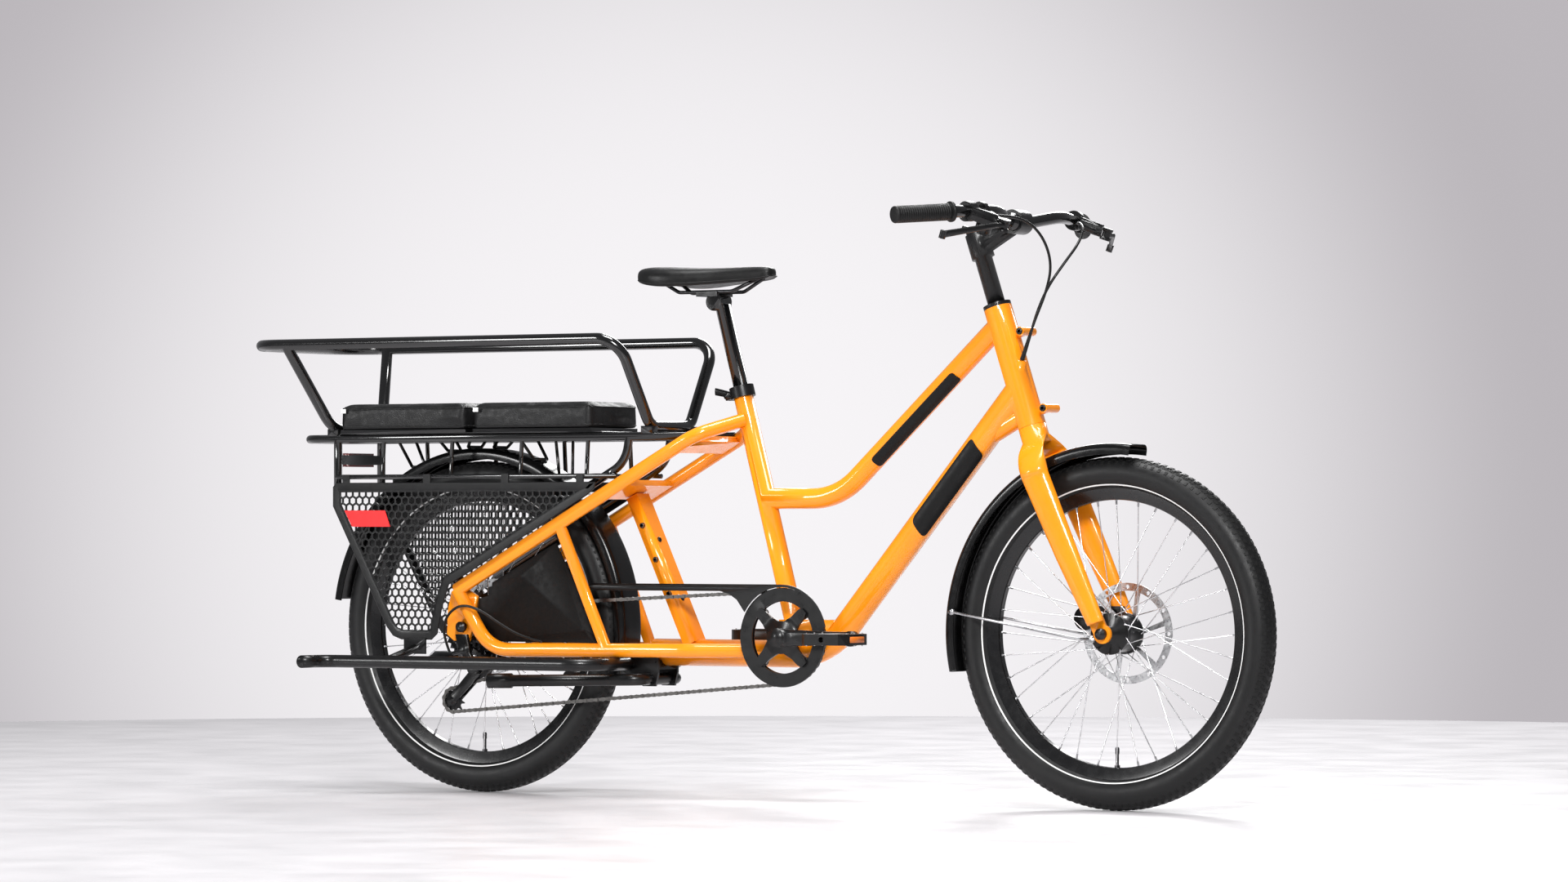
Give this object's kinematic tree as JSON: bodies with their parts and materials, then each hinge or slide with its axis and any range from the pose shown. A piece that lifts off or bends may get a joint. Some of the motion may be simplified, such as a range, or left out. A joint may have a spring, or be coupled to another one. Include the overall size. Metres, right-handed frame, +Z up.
{
  "type": "cargo bicycle",
  "caption": "Long-wheelbase cargo bicycle with a low step-through frame, rear passenger deck with rail, side guards, footrests and centre stand.",
  "frame": {"origin": "on the ground under the middle of the whole bicycle", "axes": "+X forward, +Y to the rider's left, +Z up"},
  "size_m": [2.1378, 0.691, 1.0787],
  "materials": {
    "frame_paint": "gloss",
    "black_paint": "satin",
    "black_plastic": "matt",
    "tyre": "matt",
    "alloy": "satin",
    "steel": "brushed",
    "grip_rubber": "matt",
    "pad_vinyl": "grained",
    "lamp_red": "gloss",
    "rim_black": "satin"
  },
  "bodies": {
    "frame": {"main_frame": "frame_paint", "centre_strut": "frame_paint", "rear_triangle_right": "frame_paint", "rear_triangle_left": "frame_paint", "bearing_cups": "black_paint", "seat_collar": "black_paint", "rear_axle": "steel", "rear_caliper": "black_paint", "rear_fender": "black_plastic", "rack_frame": "black_paint", "passenger_rail": "black_paint", "seat_pads": "pad_vinyl", "rear_light": "lamp_red", "side_guard_right": "black_plastic", "side_guard_left": "black_plastic", "side_panels": "black_plastic", "footrests": "black_paint", "stand_bracket": "black_paint", "chain": "steel", "chain_guard": "black_plastic", "derailleur_body": "black_paint", "derailleur_cable": "grip_rubber"},
    "steering": {"fork": "frame_paint", "stem": "black_paint", "handlebar": "black_paint", "grips": "grip_rubber", "lever_perches": "black_paint", "front_fender": "black_plastic", "front_fender_stays": "steel", "front_caliper": "black_paint", "front_axle": "steel", "cable_right": "grip_rubber", "cable_left": "grip_rubber"},
    "right_brake_lever": {"brake_lever_right": "black_paint"},
    "left_brake_lever": {"brake_lever_left": "black_paint"},
    "shifter": {"shift_lever": "black_plastic"},
    "front_wheel": {"front_tyre": "tyre", "front_rim": "rim_black", "front_spokes": "steel", "front_hub": "black_paint", "front_rotor": "steel"},
    "rear_wheel": {"rear_tyre": "tyre", "rear_rim": "rim_black", "rear_spokes": "steel", "rear_hub": "black_paint", "rear_rotor": "steel"},
    "sprockets": {"cassette": "steel"},
    "crankset": {"crank_right": "black_paint", "crank_left": "black_paint", "chainring": "black_paint"},
    "right_pedal": {"pedal_right": "black_plastic"},
    "left_pedal": {"pedal_left": "black_plastic"},
    "cage": {"derailleur_cage": "black_paint"},
    "guide_wheel": {"guide_pulley": "black_plastic"},
    "tension_wheel": {"tension_pulley": "black_plastic"},
    "stand": {"centre_stand": "black_paint"},
    "seat": {"seatpost": "black_paint", "saddle_rails": "steel", "saddle": "pad_vinyl"},
    "seat_clamp_lever": {"seat_lever": "alloy"}
  },
  "joints": [
    {"name": "steering_turn", "type": "hinge", "parent": "frame", "child": "steering", "pos_m": [0.54737, 0, 0.78691], "axis": [-0.3148, 0, 0.9492], "range_deg": [-60, 60], "deforming": ["cable_right", "cable_left"]},
    {"name": "front_wheel_spin", "type": "hinge", "parent": "steering", "child": "front_wheel", "pos_m": [0.755, 0, 0.314], "axis": [0, 1, 0], "continuous": true},
    {"name": "rear_wheel_spin", "type": "hinge", "parent": "frame", "child": "rear_wheel", "pos_m": [-0.614, 0, 0.314], "axis": [0, 1, 0], "continuous": true},
    {"name": "crank_spin", "type": "hinge", "parent": "frame", "child": "crankset", "pos_m": [0.087, 0, 0.301], "axis": [0, 1, 0], "continuous": true, "deforming": ["chain"]},
    {"name": "sprocket_spin", "type": "hinge", "parent": "frame", "child": "sprockets", "pos_m": [-0.614, 0, 0.314], "axis": [0, 1, 0], "continuous": true, "deforming": ["chain"]},
    {"name": "cage_swing", "type": "hinge", "parent": "frame", "child": "cage", "pos_m": [-0.592, 0, 0.236], "axis": [0, 1, 0], "range_deg": [-20, 25], "stiffness_Nm_per_rad": 0.6, "deforming": ["chain"]},
    {"name": "guide_pulley_spin", "type": "hinge", "parent": "cage", "child": "guide_wheel", "pos_m": [-0.592, 0, 0.236], "axis": [0, 1, 0], "continuous": true, "deforming": ["chain"]},
    {"name": "tension_pulley_spin", "type": "hinge", "parent": "cage", "child": "tension_wheel", "pos_m": [-0.65378, 0, 0.17475], "axis": [0, 1, 0], "continuous": true, "deforming": ["chain"]},
    {"name": "right_pedal_spin", "type": "hinge", "parent": "crankset", "child": "right_pedal", "pos_m": [0.257, -0.149, 0.301], "axis": [0, 1, 0], "continuous": true},
    {"name": "left_pedal_spin", "type": "hinge", "parent": "crankset", "child": "left_pedal", "pos_m": [-0.083, 0.149, 0.301], "axis": [0, 1, 0], "continuous": true},
    {"name": "right_brake_pull", "type": "hinge", "parent": "steering", "child": "right_brake_lever", "pos_m": [0.63076, -0.18566, 1.0337], "axis": [-0.3359, 0.0625, -0.9398], "range_deg": [0, 18], "stiffness_Nm_per_rad": 0.8, "springref_deg": -2.86},
    {"name": "left_brake_pull", "type": "hinge", "parent": "steering", "child": "left_brake_lever", "pos_m": [0.63076, 0.18566, 1.0337], "axis": [0.3359, 0.0625, 0.9398], "range_deg": [0, 18], "stiffness_Nm_per_rad": 0.8, "springref_deg": -2.86},
    {"name": "shifter_push", "type": "hinge", "parent": "steering", "child": "shifter", "pos_m": [0.57235, -0.15636, 1.03157], "axis": [0.3359, -0.0625, 0.9398], "range_deg": [0, 30], "stiffness_Nm_per_rad": 0.3, "springref_deg": -2.86},
    {"name": "stand_swing", "type": "hinge", "parent": "frame", "child": "stand", "pos_m": [-0.217, 0, 0.22], "axis": [0, -1, 0], "range_deg": [0, 130]},
    {"name": "seatpost_slide", "type": "slide", "parent": "frame", "child": "seat", "axis": [-0.2588, 0, 0.9659], "range_m": [-0.06, 0.09]},
    {"name": "seat_lever_turn", "type": "hinge", "parent": "frame", "child": "seat_clamp_lever", "pos_m": [-0.06066, 0, 0.74387], "axis": [0, 1, 0], "range_deg": [0, 80]}
  ],
  "couplings": [
    {"joint": "sprocket_spin", "follows": "crank_spin", "ratio": 2.3333},
    {"joint": "tension_pulley_spin", "follows": "crank_spin", "ratio": 3.8182},
    {"joint": "guide_pulley_spin", "follows": "crank_spin", "ratio": -3.8182}
  ]
}
